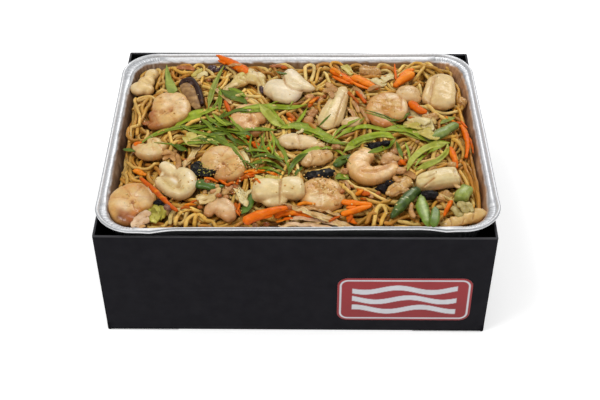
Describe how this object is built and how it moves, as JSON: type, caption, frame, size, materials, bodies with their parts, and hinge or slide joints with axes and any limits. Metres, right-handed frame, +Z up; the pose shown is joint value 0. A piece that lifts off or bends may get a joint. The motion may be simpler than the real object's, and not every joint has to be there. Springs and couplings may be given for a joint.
{
  "type": "noodle takeaway box",
  "caption": "Open black board box holding a foil tray heaped with fried egg noodles, prawns, squid, carrot, green beans, mushroom and spring onion.",
  "frame": {"origin": "middle of the footprint, on the surface the box stands on", "axes": "+X to the box's right seen from its front, +Y from the front to the back, +Z up"},
  "size_m": [0.332, 0.2702, 0.1285],
  "materials": {
    "board": "matte",
    "sticker": "satin",
    "foil": "polished",
    "noodle": "gloss",
    "prawn": "satin",
    "squid": "satin",
    "carrot": "satin",
    "bean": "gloss",
    "mushroom": "gloss",
    "cabbage": "satin",
    "spring_onion": "satin",
    "crumb": "satin"
  },
  "bodies": {
    "root": {"box": "board", "label": "sticker", "tray": "foil", "noodles": "noodle", "prawn_1": "prawn", "prawn_2": "prawn", "prawn_3": "prawn", "prawn_4": "prawn", "prawn_5": "prawn", "prawn_6": "prawn", "prawn_7": "prawn", "prawn_8": "prawn", "prawn_9": "prawn", "squid_1": "squid", "squid_2": "squid", "squid_3": "squid", "squid_4": "squid", "squid_5": "squid", "squid_6": "squid", "squid_7": "squid", "squid_8": "squid", "squid_9": "squid", "squid_10": "squid", "squid_11": "squid", "squid_12": "squid", "squid_13": "squid", "squid_14": "squid", "squid_15": "squid", "carrot_1": "carrot", "carrot_2": "carrot", "carrot_3": "carrot", "carrot_4": "carrot", "carrot_5": "carrot", "carrot_6": "carrot", "carrot_7": "carrot", "carrot_8": "carrot", "carrot_9": "carrot", "carrot_10": "carrot", "carrot_11": "carrot", "carrot_12": "carrot", "carrot_13": "carrot", "carrot_14": "carrot", "carrot_15": "carrot", "carrot_16": "carrot", "bean_1": "bean", "bean_2": "bean", "bean_3": "bean", "bean_4": "bean", "bean_5": "bean", "bean_6": "bean", "bean_7": "bean", "bean_8": "bean", "mushroom_1": "mushroom", "mushroom_2": "mushroom", "mushroom_3": "mushroom", "mushroom_4": "mushroom", "cabbage_1": "cabbage", "cabbage_2": "cabbage", "cabbage_3": "cabbage"}
  },
  "joints": []
}
